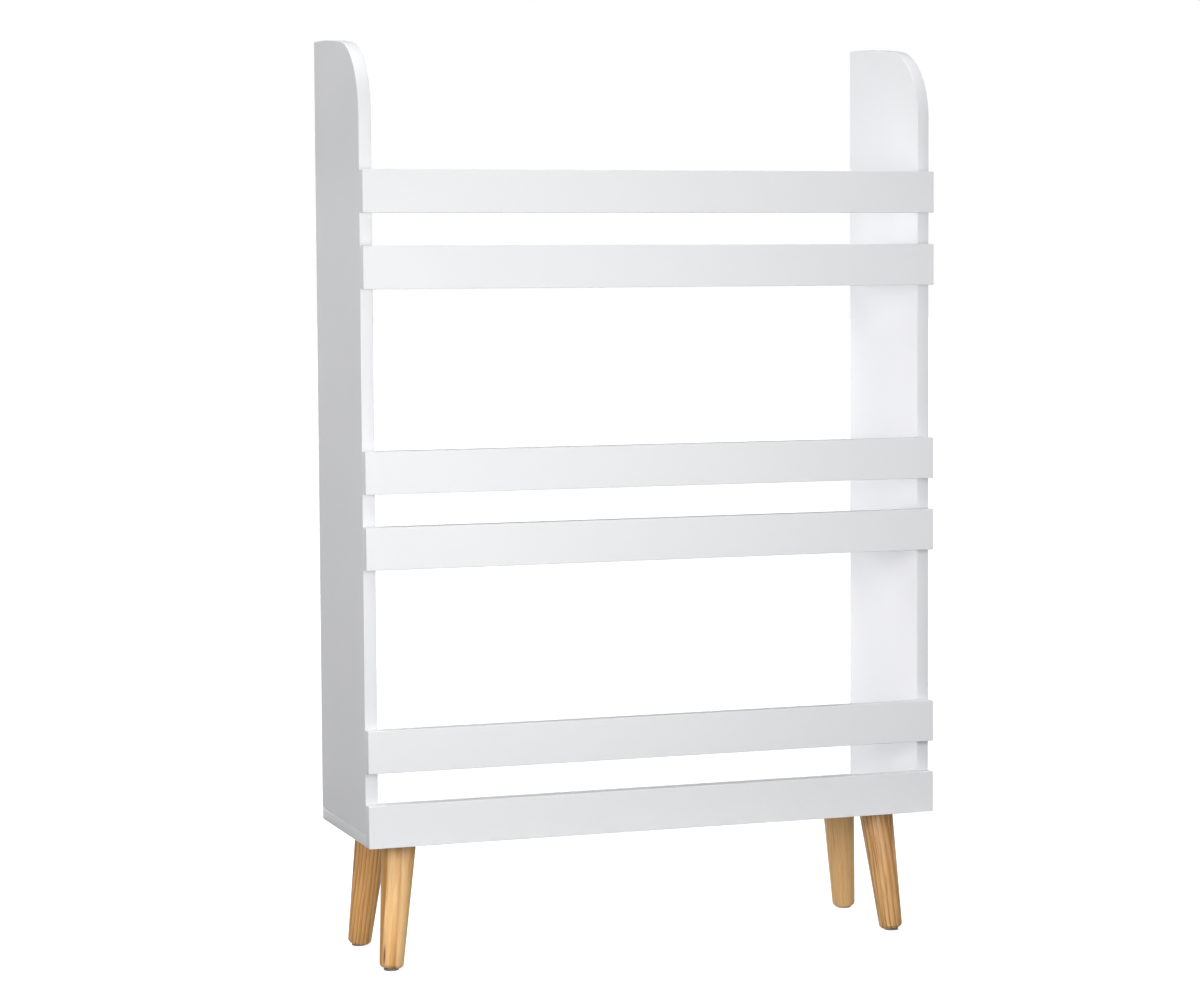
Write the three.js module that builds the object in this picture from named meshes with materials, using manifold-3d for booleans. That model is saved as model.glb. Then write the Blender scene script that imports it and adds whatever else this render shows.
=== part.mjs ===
// A child's front-facing bookcase: two white side panels, a bottom panel and two shelves,
// three pairs of front rails that hold books cover-out, and four splayed pine legs.
// Millimetres. +Z is up, the floor is z = 0, and the front faces -Y.

import * as THREE from 'three';
import { mergeVertices } from 'three/addons/utils/BufferGeometryUtils.js';
import Module from 'manifold-3d';

const wasm = await Module();
wasm.setup();

// ---------------------------------------------------------------- driving dimensions

const WIDTH = 720;
const SIDE_DEPTH = 205;
const BOARD = 15;
const CARCASS_HEIGHT = 947;
const TOP_RADIUS = 1000; // of the side's top edge, which is level at the back and falls to the front
const CORNER_RADIUS = 88; // of the side's front top corner, which the top edge runs into
const LEG_SPACE = 153; // from the floor to the underside of the bottom panel

const RAIL_HEIGHT = 50;
const RAIL_GAP = 38;
const TIER_PITCH = 325;

const LEG_INSET_X = 52; // from the outer face of the side to the leg's axis, at the underside
const LEG_INSET_Y = 44; // from the front or back edge of the bottom panel, likewise
const LEG_TILT = THREE.MathUtils.degToRad(8);
const LEG_TOP_RADIUS = 20.5;
const LEG_END_RADIUS = 14.2;
const LEG_TOP_CHAMFER = 1;
const LEG_END_CHAMFER = 3;
const LEG_END_HEIGHT = 2.4; // of the middle of the leg's end above the floor
const GLIDE_RADIUS = 9;

const PLATE_SIZE = 60;
const PLATE_THICKNESS = 2.5;
const PLATE_CORNER = 8;
const PLATE_SCREW_OFFSET = 23;
const PLATE_SCREW_RADIUS = 1.8;
const PLATE_SINK_RADIUS = 3.6;
const PLATE_SINK_FLOOR = 0.4; // of plate left straight under each countersink
const BOSS_RADIUS = 18;
const BOSS_DROP = 8; // along the leg's axis, from the underside to the boss's face

const HANGER_RADIUS = 3.8;
const HANGER_IN_LEG = 38;
const HANGER_POINT = 6;

const CAM_RADIUS = 7.2;
const CAM_DEPTH = 12.3;
const CAM_SETBACK = 24; // from the board's edge to the cam's centre
const CAM_SLOT = 1.6; // width and depth
const CAM_SLOT_REACH = 4.3; // from the cam's centre to the slot's ends
const BOLT_RADIUS = 3.2;
const BOLT_HEAD_RADIUS = 3.6;
const BOLT_HEAD_LENGTH = 2.1;
const BOLT_NECK_TAPER = 1.2;
const BOLT_NECK_END = 2; // from the cam to where the bolt is at its full thickness
const BOLT_THREAD_RADIUS = 2.4;
const BOLT_THREAD_LENGTH = 11;
const BOLT_POINT = 2;
const SHELF_BOLT_INSET = 40; // from the shelf's front and back edges

const DOWEL_RADIUS = 4;
const DOWEL_IN_SIDE = 10;
const DOWEL_IN_EDGE = 22;
const SHELF_DOWEL_X = 230; // of the two dowels that tie a lower rail to its shelf

const SCREW_RADIUS = 3.4;
const SCREW_THREAD_RADIUS = 2.5;
const SCREW_HEAD_RADIUS = 5;
const SCREW_HEAD_DEPTH = 3;
const SCREW_LENGTH = 50;
const SCREW_POINT = 4;
const SCREW_STEP = 1; // the taper from the shank to the thread
const SCREW_INSET = 45; // from the front and back edges of the bottom panel

const CLEARANCE = 0.3;
const END_CLEARANCE = 0.5;
const OVERCUT = 1; // how far a cutter or a joined piece passes a surface, for a clean result

// ---------------------------------------------------------------- worked-out places

const HALF_WIDTH = WIDTH / 2;
const INNER_X = HALF_WIDTH - BOARD;
const SIDE_MIDDLE_X = HALF_WIDTH - BOARD / 2;
const DEPTH = SIDE_DEPTH + BOARD;
const RAIL_FRONT_Y = -DEPTH / 2;
const SIDE_FRONT_Y = RAIL_FRONT_Y + BOARD;
const BACK_Y = DEPTH / 2;
const SIDE_MIDDLE_Y = (SIDE_FRONT_Y + BACK_Y) / 2;
const LEG_X = HALF_WIDTH - LEG_INSET_X;
const LEG_Y = SIDE_DEPTH / 2 - LEG_INSET_Y;
const UPPER_RAIL_Z = RAIL_HEIGHT + RAIL_GAP;

const TIERS = ['bottom_tier', 'middle_tier', 'top_tier'];
const SHELF_BOLT_Y = [SIDE_FRONT_Y + SHELF_BOLT_INSET, BACK_Y - SHELF_BOLT_INSET];
const SCREW_Y = [SIDE_FRONT_Y + SCREW_INSET, BACK_Y - SCREW_INSET];
const RAIL_CAM_Y = SIDE_FRONT_Y + CAM_SETBACK;
const SHELF_CAM_X = INNER_X - CAM_SETBACK;
const SHELF_LEVELS = [TIER_PITCH, 2 * TIER_PITCH];

const RAIL_CAM_Z = 36; // above the rail's lower edge
const RAIL_DOWEL_Z = 14;

const SIDES = [
  { name: 'left', sign: -1 },
  { name: 'right', sign: 1 },
];

const ROUND_STEPS = 10;
const CAM_STEPS = 14;
const LEG_STEPS = 24;
const GLIDE_STEPS = 20;
const OUTLINE_STEPS = 14;
const PLATE_CORNER_STEPS = 4;
const WELD = 1e-4; // vertices nearer than this are one

// ---------------------------------------------------------------- materials

const laminate = new THREE.MeshStandardMaterial({ color: 0xf0f0f3, roughness: 0.45, metalness: 0 });
const pine = new THREE.MeshStandardMaterial({ color: 0xcc965a, roughness: 0.5, metalness: 0 });
const steel = new THREE.MeshStandardMaterial({ color: 0xb9bcc0, roughness: 0.35, metalness: 0.9 });
const zinc = new THREE.MeshStandardMaterial({ color: 0xa3a6aa, roughness: 0.5, metalness: 0.8 });
const felt = new THREE.MeshStandardMaterial({ color: 0x4b443d, roughness: 0.95, metalness: 0 });

// ---------------------------------------------------------------- solids and booleans

function solidOf(geometry) {
  const bare = geometry.index ? geometry.toNonIndexed() : geometry.clone();
  bare.deleteAttribute('normal');
  bare.deleteAttribute('uv');
  const merged = mergeVertices(bare, WELD);
  return new wasm.Manifold(new wasm.Mesh({
    numProp: 3,
    vertProperties: new Float32Array(merged.attributes.position.array),
    triVerts: new Uint32Array(merged.index.array),
  }));
}

function geometryOf(solid) {
  const mesh = solid.getMesh();
  const geometry = new THREE.BufferGeometry();
  geometry.setAttribute('position', new THREE.BufferAttribute(mesh.vertProperties, mesh.numProp));
  geometry.setIndex(new THREE.BufferAttribute(mesh.triVerts, 1));
  return geometry;
}

function shaped(body, { joined = [], cut = [] }) {
  let solid = solidOf(body);
  for (const geometry of joined) {
    solid = solid.add(solidOf(geometry));
  }
  for (const geometry of cut) {
    solid = solid.subtract(solidOf(geometry));
  }
  return geometryOf(solid);
}

function box(low, high) {
  const size = high.map((value, axis) => value - low[axis]);
  const middle = high.map((value, axis) => (value + low[axis]) / 2);
  return new THREE.BoxGeometry(...size).translate(...middle);
}

// A turned piece about the local Z axis. Its profile is a list of [radius, z] from the lowest
// point to the highest, and it starts and ends on the axis.
function turned(profile, steps) {
  const points = profile.map(([radius, z]) => new THREE.Vector2(radius, z));
  return new THREE.LatheGeometry(points, steps).rotateX(Math.PI / 2);
}

// Turns a geometry made along +Z so that it runs from a point in a direction.
function aimed(geometry, start, direction) {
  const turn = new THREE.Quaternion().setFromUnitVectors(
    new THREE.Vector3(0, 0, 1),
    new THREE.Vector3(...direction).normalize(),
  );
  return geometry.applyQuaternion(turn).translate(...start);
}

function rod(start, direction, length, radius, steps = ROUND_STEPS) {
  const profile = [[0, 0], [radius, 0], [radius, length], [0, length]];
  return aimed(turned(profile, steps), start, direction);
}

// A rod that begins a little behind its start.
function overlong(start, direction, length, radius, steps) {
  const behind = start.map((value, axis) => value - OVERCUT * direction[axis]);
  return rod(behind, direction, length + OVERCUT, radius, steps);
}

// A glued-in dowel that stands out of a board.
function dowel(start, direction, length) {
  return overlong(start, direction, length, DOWEL_RADIUS);
}

function dowelHole(start, direction, length) {
  return hole(start, direction, length + END_CLEARANCE, DOWEL_RADIUS + CLEARANCE);
}

// A blind hole into a board.
function hole(start, direction, depth, radius, steps) {
  return overlong(start, direction, depth, radius, steps);
}

function camPocket(start, direction) {
  return hole(start, direction, CAM_DEPTH + CLEARANCE, CAM_RADIUS + CLEARANCE, CAM_STEPS);
}

// ---------------------------------------------------------------- scene graph

const bookcase = new THREE.Group();
const carcass = new THREE.Group(); // z = 0 is the underside of the bottom panel
carcass.position.z = LEG_SPACE;
bookcase.add(carcass);

function place(name, geometry, material, parent = carcass) {
  const mesh = new THREE.Mesh(geometry, material);
  mesh.name = name;
  parent.add(mesh);
  return mesh;
}

// The lower edge of each rail, with the tier it belongs to.
const RAILS = TIERS.flatMap((tier, level) => [
  { name: `${tier}_lower_rail`, z: level * TIER_PITCH, shelved: true },
  { name: `${tier}_upper_rail`, z: level * TIER_PITCH + UPPER_RAIL_Z, shelved: false },
]);

// ---------------------------------------------------------------- side panels

// Square at the back. The top edge is a wide arc that runs smoothly into the front corner's.
function sideOutline() {
  const cornerY = SIDE_FRONT_Y + CORNER_RADIUS;
  const topCentreZ = CARCASS_HEIGHT - TOP_RADIUS;
  const between = TOP_RADIUS - CORNER_RADIUS;
  const turn = Math.asin((BACK_Y - cornerY) / between);
  const cornerZ = topCentreZ + between * Math.cos(turn);
  const level = Math.PI / 2;

  const shape = new THREE.Shape();
  shape.moveTo(SIDE_FRONT_Y, BOARD);
  shape.lineTo(BACK_Y, BOARD);
  shape.lineTo(BACK_Y, CARCASS_HEIGHT);
  shape.absarc(BACK_Y, topCentreZ, TOP_RADIUS, level, level + turn, false);
  shape.absarc(cornerY, cornerZ, CORNER_RADIUS, level + turn, Math.PI, false);
  shape.closePath();
  return shape;
}

function sidePanel({ name, sign }) {
  const board = new THREE.ExtrudeGeometry(sideOutline(), {
    depth: BOARD,
    bevelEnabled: false,
    curveSegments: OUTLINE_STEPS,
  });
  // The outline's x and y become the panel's Y and Z, and the extrusion runs along +X.
  const upright = new THREE.Matrix4().makeBasis(
    new THREE.Vector3(0, 1, 0),
    new THREE.Vector3(0, 0, 1),
    new THREE.Vector3(1, 0, 0),
  );
  board.applyMatrix4(upright);
  board.translate(sign > 0 ? INNER_X : -HALF_WIDTH, 0, 0);

  const middle = sign * SIDE_MIDDLE_X;
  const inner = sign * INNER_X;
  const cut = [];
  for (const rail of RAILS) {
    const camZ = rail.z + RAIL_CAM_Z;
    cut.push(camPocket([inner, RAIL_CAM_Y, camZ], [sign, 0, 0]));
    cut.push(hole([middle, SIDE_FRONT_Y, camZ], [0, 1, 0], CAM_SETBACK, BOLT_HEAD_RADIUS + CLEARANCE));
    if (!rail.shelved) {
      cut.push(dowelHole([middle, SIDE_FRONT_Y, rail.z + RAIL_DOWEL_Z], [0, 1, 0], DOWEL_IN_EDGE));
    }
  }
  for (const level of SHELF_LEVELS) {
    const z = level + BOARD / 2;
    cut.push(dowelHole([inner, SIDE_MIDDLE_Y, z], [sign, 0, 0], DOWEL_IN_SIDE));
    for (const y of SHELF_BOLT_Y) {
      cut.push(hole([inner, y, z], [sign, 0, 0], BOLT_THREAD_LENGTH + END_CLEARANCE,
        BOLT_THREAD_RADIUS + CLEARANCE));
    }
  }
  cut.push(dowelHole([middle, SIDE_MIDDLE_Y, BOARD], [0, 0, 1], DOWEL_IN_EDGE));
  for (const y of SCREW_Y) {
    cut.push(hole([middle, y, BOARD], [0, 0, 1], SCREW_LENGTH - BOARD + END_CLEARANCE,
      SCREW_THREAD_RADIUS + CLEARANCE));
  }
  place(`${name}_side_panel`, shaped(board, { cut }), laminate);
}

// ---------------------------------------------------------------- bottom panel and shelves

function shelfRailHoles(z) {
  return [-SHELF_DOWEL_X, SHELF_DOWEL_X].map((x) =>
    dowelHole([x, SIDE_FRONT_Y, z + BOARD / 2], [0, 1, 0], DOWEL_IN_EDGE));
}

function bottomPanel() {
  const board = box([-HALF_WIDTH, SIDE_FRONT_Y, 0], [HALF_WIDTH, BACK_Y, BOARD]);
  const cut = shelfRailHoles(0);
  const joined = [];
  for (const { sign } of SIDES) {
    const x = sign * SIDE_MIDDLE_X;
    joined.push(dowel([x, SIDE_MIDDLE_Y, BOARD], [0, 0, 1], DOWEL_IN_EDGE));
    for (const y of SCREW_Y) {
      cut.push(hole([x, y, 0], [0, 0, 1], BOARD + OVERCUT, SCREW_RADIUS + CLEARANCE));
      cut.push(hole([x, y, 0], [0, 0, 1], SCREW_HEAD_DEPTH + CLEARANCE, SCREW_HEAD_RADIUS + CLEARANCE));
    }
  }
  place('bottom_panel', shaped(board, { joined, cut }), laminate);
}

function shelf(name, z) {
  const board = box([-INNER_X, SIDE_FRONT_Y, z], [INNER_X, BACK_Y, z + BOARD]);
  const cut = shelfRailHoles(z);
  const joined = [];
  for (const { sign } of SIDES) {
    joined.push(dowel([sign * INNER_X, SIDE_MIDDLE_Y, z + BOARD / 2], [sign, 0, 0], DOWEL_IN_SIDE));
    for (const y of SHELF_BOLT_Y) {
      cut.push(camPocket([sign * SHELF_CAM_X, y, z], [0, 0, 1]));
      cut.push(hole([sign * INNER_X, y, z + BOARD / 2], [-sign, 0, 0], CAM_SETBACK,
        BOLT_HEAD_RADIUS + CLEARANCE));
    }
  }
  place(name, shaped(board, { joined, cut }), laminate);
}

// ---------------------------------------------------------------- front rails

function rail({ name, z, shelved }) {
  const board = box([-HALF_WIDTH, RAIL_FRONT_Y, z], [HALF_WIDTH, SIDE_FRONT_Y, z + RAIL_HEIGHT]);
  const cut = [];
  const joined = [];
  for (const { sign } of SIDES) {
    cut.push(hole([sign * SIDE_MIDDLE_X, SIDE_FRONT_Y, z + RAIL_CAM_Z], [0, -1, 0],
      BOLT_THREAD_LENGTH + END_CLEARANCE, BOLT_THREAD_RADIUS + CLEARANCE));
    const [x, dowelZ] = shelved ? [SHELF_DOWEL_X, BOARD / 2] : [SIDE_MIDDLE_X, RAIL_DOWEL_Z];
    joined.push(dowel([sign * x, SIDE_FRONT_Y, z + dowelZ], [0, 1, 0], DOWEL_IN_EDGE));
  }
  place(name, shaped(board, { joined, cut }), laminate);
}

// ---------------------------------------------------------------- cam locks and cam bolts

// A cam lock about the local Z axis, its slotted face at z = 0, its body above it. The bolt comes
// in along local +X at the middle of the board.
function camLock() {
  const body = turned([[0, 0], [CAM_RADIUS, 0], [CAM_RADIUS, CAM_DEPTH], [0, CAM_DEPTH]], CAM_STEPS);
  const slot = box([-CAM_SLOT_REACH, -CAM_SLOT / 2, -OVERCUT], [CAM_SLOT_REACH, CAM_SLOT / 2, CAM_SLOT]);
  const mouth = rod([0, 0, BOARD / 2], [1, 0, 0], CAM_RADIUS + OVERCUT, BOLT_HEAD_RADIUS + CLEARANCE);
  return shaped(body, { cut: [slot, mouth] });
}

// A cam bolt along the local +X axis: x = 0 is the joint between the boards, the head lies
// on the cam's side at negative x and the thread at positive x.
function camBolt() {
  const headStart = -CAM_SETBACK + CLEARANCE;
  const neckStart = headStart + BOLT_HEAD_LENGTH;
  const profile = [
    [0, headStart],
    [BOLT_HEAD_RADIUS - CLEARANCE, headStart],
    [BOLT_HEAD_RADIUS - CLEARANCE, neckStart],
    [BOLT_THREAD_RADIUS, neckStart + BOLT_NECK_TAPER],
    [BOLT_RADIUS, -CAM_SETBACK + CAM_RADIUS + BOLT_NECK_END],
    [BOLT_RADIUS, -CLEARANCE],
    [BOLT_THREAD_RADIUS, -CLEARANCE],
    [BOLT_THREAD_RADIUS, BOLT_THREAD_LENGTH - BOLT_POINT],
    [0, BOLT_THREAD_LENGTH],
  ];
  return aimed(turned(profile, ROUND_STEPS), [0, 0, 0], [1, 0, 0]);
}

function frameFrom(x, y, z) {
  return new THREE.Matrix4().makeBasis(
    new THREE.Vector3(...x),
    new THREE.Vector3(...y),
    new THREE.Vector3(...z),
  );
}

function placedPiece(name, geometry, material, axes, position) {
  const mesh = place(name, geometry, material);
  mesh.quaternion.setFromRotationMatrix(frameFrom(...axes));
  mesh.position.set(...position);
}

function shelfFixings(shelfName, z) {
  for (const side of SIDES) {
    for (const [row, y] of [['front', SHELF_BOLT_Y[0]], ['rear', SHELF_BOLT_Y[1]]]) {
      const name = `${shelfName}_${row}_${side.name}`;
      const outward = [side.sign, 0, 0];
      const across = [0, side.sign, 0];
      placedPiece(`${name}_cam`, camLock(), zinc, [outward, across, [0, 0, 1]],
        [side.sign * SHELF_CAM_X, y, z]);
      placedPiece(`${name}_cam_bolt`, camBolt(), steel, [outward, across, [0, 0, 1]],
        [side.sign * INNER_X, y, z + BOARD / 2]);
    }
  }
}

// Each rail's cam lock is modelled in one with its bolt, which it grips.
function railFixings({ name, z }) {
  for (const side of SIDES) {
    const bolt = camBolt().translate(CAM_SETBACK, 0, BOARD / 2);
    const grip = rod([0, 0, BOARD / 2], [0, 0, 1], CAM_DEPTH - BOARD / 2, BOLT_RADIUS);
    const fitting = shaped(camLock(), { joined: [bolt, grip] });
    const intoSide = [side.sign, 0, 0];
    const forward = [0, -1, 0];
    const across = [0, 0, -side.sign];
    placedPiece(`${name}_${side.name}_cam`, fitting, zinc, [forward, across, intoSide],
      [side.sign * INNER_X, RAIL_CAM_Y, z + RAIL_CAM_Z]);
  }
}

// ---------------------------------------------------------------- screws from below

function bottomScrews() {
  const profile = [
    [0, 0],
    [SCREW_HEAD_RADIUS, 0],
    [SCREW_RADIUS, SCREW_HEAD_DEPTH],
    [SCREW_RADIUS, BOARD - SCREW_STEP],
    [SCREW_THREAD_RADIUS, BOARD],
    [SCREW_THREAD_RADIUS, SCREW_LENGTH - SCREW_POINT],
    [0, SCREW_LENGTH],
  ];
  for (const side of SIDES) {
    for (const [row, y] of [['front', SCREW_Y[0]], ['rear', SCREW_Y[1]]]) {
      const screw = place(`bottom_screw_${row}_${side.name}`, turned(profile, ROUND_STEPS), steel);
      screw.position.set(side.sign * SIDE_MIDDLE_X, y, 0);
    }
  }
}

// ---------------------------------------------------------------- legs

function plateOutline() {
  const half = PLATE_SIZE / 2;
  const inset = half - PLATE_CORNER;
  const shape = new THREE.Shape();
  const quarter = Math.PI / 2;
  const corners = [[inset, inset], [-inset, inset], [-inset, -inset], [inset, -inset]];
  corners.forEach(([x, y], index) => {
    shape.absarc(x, y, PLATE_CORNER, index * quarter, (index + 1) * quarter, false);
  });
  shape.closePath();
  return shape;
}

// The plate's flange lies flat under the bottom panel; its boss faces along the leg.
function legPlate(axis) {
  const flange = new THREE.ExtrudeGeometry(plateOutline(), {
    depth: PLATE_THICKNESS,
    bevelEnabled: false,
    curveSegments: PLATE_CORNER_STEPS,
  });
  flange.translate(0, 0, -PLATE_THICKNESS);
  const start = axis.map((value) => -value * BOSS_DROP);
  const boss = rod(start, axis, 2 * BOSS_DROP, BOSS_RADIUS, LEG_STEPS);
  const above = box([-PLATE_SIZE, -PLATE_SIZE, 0], [PLATE_SIZE, PLATE_SIZE, PLATE_SIZE]);
  const bore = rod(start, axis, 2 * BOSS_DROP + OVERCUT, HANGER_RADIUS + CLEARANCE);
  const cut = [above, bore];
  for (const x of [-PLATE_SCREW_OFFSET, PLATE_SCREW_OFFSET]) {
    for (const y of [-PLATE_SCREW_OFFSET, PLATE_SCREW_OFFSET]) {
      const sink = turned([
        [0, -PLATE_THICKNESS - OVERCUT],
        [PLATE_SINK_RADIUS, -PLATE_THICKNESS - OVERCUT],
        [PLATE_SINK_RADIUS, -PLATE_THICKNESS],
        [PLATE_SCREW_RADIUS, -PLATE_SINK_FLOOR],
        [PLATE_SCREW_RADIUS, OVERCUT],
        [0, OVERCUT],
      ], ROUND_STEPS);
      cut.push(sink.translate(x, y, 0));
    }
  }
  return shaped(flange, { joined: [boss], cut });
}

function leg(row, side, rowSign) {
  const name = `${row}_${side.name}_leg`;
  const splay = Math.sin(LEG_TILT) / Math.SQRT2;
  const axis = [side.sign * splay, rowSign * splay, -Math.cos(LEG_TILT)];
  const foot = (LEG_SPACE - LEG_END_HEIGHT) / Math.cos(LEG_TILT);
  const top = BOSS_DROP + CLEARANCE;

  const mounting = new THREE.Group(); // at the underside of the bottom panel, on the leg's axis
  mounting.position.set(side.sign * LEG_X, SIDE_MIDDLE_Y + rowSign * LEG_Y, 0);
  carcass.add(mounting);
  place(`${name}_plate`, legPlate(axis), steel, mounting);

  const tilted = new THREE.Group(); // +Z runs down the leg
  tilted.quaternion.setFromUnitVectors(new THREE.Vector3(0, 0, 1), new THREE.Vector3(...axis));
  mounting.add(tilted);

  const profile = [
    [0, top],
    [LEG_TOP_RADIUS - LEG_TOP_CHAMFER, top],
    [LEG_TOP_RADIUS, top + LEG_TOP_CHAMFER],
    [LEG_END_RADIUS, foot - LEG_END_CHAMFER],
    [LEG_END_RADIUS - LEG_END_CHAMFER, foot],
    [0, foot],
  ];
  const bore = hole([0, 0, top], [0, 0, 1], HANGER_IN_LEG + END_CLEARANCE, HANGER_RADIUS + CLEARANCE);
  place(name, shaped(turned(profile, LEG_STEPS), { cut: [bore] }), pine, tilted);

  const boltProfile = [
    [0, END_CLEARANCE],
    [HANGER_RADIUS, END_CLEARANCE],
    [HANGER_RADIUS, top + HANGER_IN_LEG - HANGER_POINT],
    [0, top + HANGER_IN_LEG],
  ];
  place(`${name}_hanger_bolt`, turned(boltProfile, ROUND_STEPS), steel, tilted);

  // The standing weight presses the felt into a wedge, so its underside is level on the floor.
  const origin = [mounting.position.x, mounting.position.y, LEG_SPACE];
  const glideTop = origin.map((value, i) => value + axis[i] * (foot + CLEARANCE));
  const below = box([-WIDTH, -WIDTH, -WIDTH], [WIDTH, WIDTH, 0]);
  const pressed = rod(glideTop, axis, 3 * LEG_END_HEIGHT, GLIDE_RADIUS, GLIDE_STEPS);
  const glide = shaped(pressed, { cut: [below] });
  place(`${name}_felt_glide`, glide, felt, bookcase);
}

// ---------------------------------------------------------------- assembly

SIDES.forEach(sidePanel);
bottomPanel();
shelf('middle_shelf', SHELF_LEVELS[0]);
shelf('top_shelf', SHELF_LEVELS[1]);
RAILS.forEach(rail);
shelfFixings('middle_shelf', SHELF_LEVELS[0]);
shelfFixings('top_shelf', SHELF_LEVELS[1]);
RAILS.forEach(railFixings);
bottomScrews();
for (const side of SIDES) {
  leg('front', side, -1);
  leg('rear', side, 1);
}

export default bookcase;
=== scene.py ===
# A child's front-facing bookcase: white laminated boards with edge bands, six front rails,
# turned pine legs on angled steel plates, with cam fittings, screws and felt pads.
# Metres. The CAD frame gives every place; +Z is up and the front faces -Y.

import math

import bmesh
import bpy
from mathutils import Matrix, Vector, noise


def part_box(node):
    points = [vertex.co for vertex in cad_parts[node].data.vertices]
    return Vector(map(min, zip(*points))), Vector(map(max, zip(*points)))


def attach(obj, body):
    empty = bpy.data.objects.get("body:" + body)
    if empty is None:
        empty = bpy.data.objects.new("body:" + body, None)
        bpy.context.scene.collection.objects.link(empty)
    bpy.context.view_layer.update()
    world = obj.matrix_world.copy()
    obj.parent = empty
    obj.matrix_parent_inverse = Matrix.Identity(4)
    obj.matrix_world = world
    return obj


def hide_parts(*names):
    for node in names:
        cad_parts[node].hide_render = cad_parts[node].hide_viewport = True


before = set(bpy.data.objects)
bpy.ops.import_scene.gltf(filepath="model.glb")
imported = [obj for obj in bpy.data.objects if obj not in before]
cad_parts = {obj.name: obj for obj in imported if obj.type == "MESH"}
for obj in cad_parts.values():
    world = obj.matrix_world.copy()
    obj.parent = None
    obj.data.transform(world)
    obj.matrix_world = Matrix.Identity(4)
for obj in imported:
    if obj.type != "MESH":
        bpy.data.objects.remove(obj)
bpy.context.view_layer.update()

MM = 0.001
BODY = "root"

BOARD = 15 * MM
BAND = 0.9 * MM            # thickness of the glued edge band
BAND_ROUND = 0.7 * MM      # its trimmed edges
THICK_BAND = 1.5 * MM      # the bottom board's band, whose ends stand under the sides
THICK_BAND_ROUND = 1.25 * MM
SEAM = 0.12 * MM           # the hairline between a band and the board's face
OUTLINE_ROUND = 1.3 * MM   # the small radius at a board's square corners
TOP_RADIUS = 1000 * MM     # of a side's top edge
CORNER_RADIUS = 88 * MM    # of a side's front top corner

LEG_TILT = math.radians(8)
LEG_TOP_RADIUS = 20.5 * MM
LEG_END_RADIUS = 14.2 * MM
LEG_END_CHAMFER = 3 * MM
BOSS_DROP = 8 * MM
GLIDE_RADIUS = 9 * MM

CAM_RADIUS = 7.2 * MM
CAM_POCKET_RADIUS = 7.5 * MM
CAM_DEPTH = 12.3 * MM
SCREW_POCKET_RADIUS = 5.3 * MM
SCREW_POCKET_DEPTH = 3.4 * MM
POCKET_CHAMFER = 0.25 * MM
CAM_SINK = 0.25 * MM       # how far a cam's face lies below the board's
PLATE_SCREW_OFFSET = 23 * MM
PLATE_THICKNESS = 2.5 * MM
PLATE_GAP = 0.02 * MM      # between a plate and the panel above it
FLOOR_GAP = 0.02 * MM      # between a glide and the floor

SMOOTH_ANGLE = 35          # degrees; edges that turn more than this stay hard
CUTTER_OUT = 1 * MM        # how far a cutter stands out of the surface that it cuts


# ---------------------------------------------------------------- small helpers

def srgb(red, green, blue):
    """A colour given as screen values from 0 to 1, as the linear values that shaders use."""
    def linear(value):
        return value / 12.92 if value <= 0.04045 else ((value + 0.055) / 1.055) ** 2.4
    return (linear(red), linear(green), linear(blue), 1.0)


def new_object(name, mesh):
    made = bpy.data.objects.new(name, mesh)
    bpy.context.scene.collection.objects.link(made)
    return made


def mesh_from(name, build, smooth_angle=SMOOTH_ANGLE):
    """A mesh whose bmesh is filled by build(bm), with normals out and smooth shading up to an
    angle."""
    bm = bmesh.new()
    build(bm)
    bmesh.ops.recalc_face_normals(bm, faces=bm.faces)
    mesh = bpy.data.meshes.new(name)
    bm.to_mesh(mesh)
    bm.free()
    mesh.shade_smooth()
    mesh.set_sharp_from_angle(angle=math.radians(smooth_angle))
    return mesh


def piece(obj, slot, *replaced):
    """Parents a finished object to the body's empty, and hides the CAD nodes that it stands for."""
    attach(obj, BODY)
    if replaced:
        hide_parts(*replaced)


def bake_modifiers(obj):
    """Turns an object's modifiers into its mesh."""
    graph = bpy.context.evaluated_depsgraph_get()
    graph.update()
    baked = bpy.data.meshes.new_from_object(obj.evaluated_get(graph))
    obj.modifiers.clear()
    obj.data = baked


def cut_away(obj, cutter_mesh):
    """Cuts one closed mesh out of obj."""
    cutter = new_object("cutter", cutter_mesh)
    cutting = obj.modifiers.new("cut", "BOOLEAN")
    cutting.object = cutter
    cutting.operation = "DIFFERENCE"
    cutting.solver = "EXACT"
    bake_modifiers(obj)
    bpy.data.objects.remove(cutter)
    obj.data.shade_smooth()
    obj.data.set_sharp_from_angle(angle=math.radians(SMOOTH_ANGLE))


def add_mesh(obj, extra):
    """Joins a mesh to an object's own, and removes it."""
    joined = bmesh.new()
    joined.from_mesh(obj.data)
    joined.from_mesh(extra)
    joined.to_mesh(obj.data)
    joined.free()
    bpy.data.meshes.remove(extra)


def shared_mesh(obj, material):
    """The mesh of an object that was only there to be cut, for the pieces that share it."""
    obj.data.materials.append(material)
    mesh = obj.data
    bpy.data.objects.remove(obj)
    return mesh


def turned(bm, profile, steps, matrix=None):
    """A turned shape about the local Z axis, from [radius, z] points that start and end on the
    axis."""
    rings = []
    for radius, z in profile:
        if radius < 1e-7:
            rings.append([bm.verts.new((0, 0, z))])
            continue
        ring = []
        for step in range(steps):
            angle = 2 * math.pi * step / steps
            ring.append(bm.verts.new((radius * math.cos(angle), radius * math.sin(angle), z)))
        rings.append(ring)
    made = [vert for ring in rings for vert in ring]
    for low, high in zip(rings, rings[1:]):
        for step in range(steps):
            following = (step + 1) % steps
            corners = [low[step % len(low)], low[following % len(low)],
                       high[following % len(high)], high[step % len(high)]]
            unique = list(dict.fromkeys(corners))
            if len(unique) > 2:
                bm.faces.new(unique)
    if matrix is not None:
        bmesh.ops.transform(bm, matrix=matrix, verts=made)
    return made


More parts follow.
